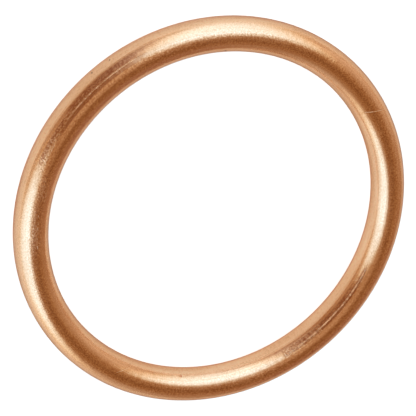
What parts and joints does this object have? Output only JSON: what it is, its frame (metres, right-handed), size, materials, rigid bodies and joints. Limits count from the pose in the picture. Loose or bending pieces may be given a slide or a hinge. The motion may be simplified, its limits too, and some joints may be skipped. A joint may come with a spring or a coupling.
{
  "type": "exhaust pipe gasket",
  "caption": "Closed copper crush ring with full-round crowns that seals an exhaust pipe's flared end in a cylinder head's exhaust port.",
  "frame": {"origin": "centre of the ring, in the plane that its lower crown rests on", "axes": "+Z along the ring's axis, from the lower crown to the upper crown; the ring looks the same all around, so +X and +Y are free"},
  "size_m": [0.0454, 0.0454, 0.004],
  "materials": {
    "copper": null
  },
  "bodies": {
    "root": {"gasket_ring": "copper"}
  },
  "joints": []
}
